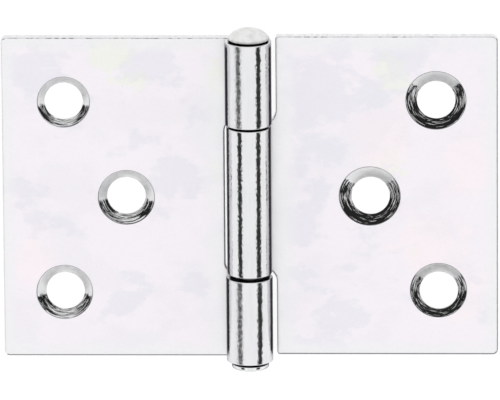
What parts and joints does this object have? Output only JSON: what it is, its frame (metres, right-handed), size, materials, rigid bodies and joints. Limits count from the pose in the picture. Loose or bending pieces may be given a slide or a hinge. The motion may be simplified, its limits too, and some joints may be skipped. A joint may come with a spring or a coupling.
{
  "type": "wide butt hinge",
  "caption": "Wide rolled butt hinge with flat sheet leaves, countersunk screw holes and interlocking knuckles on a dome-headed pin, for hanging a door or lid.",
  "frame": {"origin": "under the middle of the open hinge's box, on the plane of the leaves' backs", "axes": "+X across the leaves to the one with the single centre knuckle, +Y along the pin to its domed head, +Z from the backs to the countersunk fronts"},
  "size_m": [0.0746, 0.053, 0.0067],
  "materials": {
    "zinc_left_leaf": "bright zinc plated sheet steel",
    "zinc_right_leaf": "bright zinc plated sheet steel",
    "zinc_pin": "bright zinc plated wire, duller on its formed head"
  },
  "bodies": {
    "left_leaf": {"left_leaf": "zinc_left_leaf", "hinge_pin": "zinc_pin"},
    "right_leaf": {"right_leaf": "zinc_right_leaf"}
  },
  "joints": [
    {"name": "leaf_fold", "type": "hinge", "parent": "left_leaf", "child": "right_leaf", "pos_m": [0, -0.00042, 0.00335], "axis": [0, -1, 0], "range_deg": [-82, 185]}
  ]
}
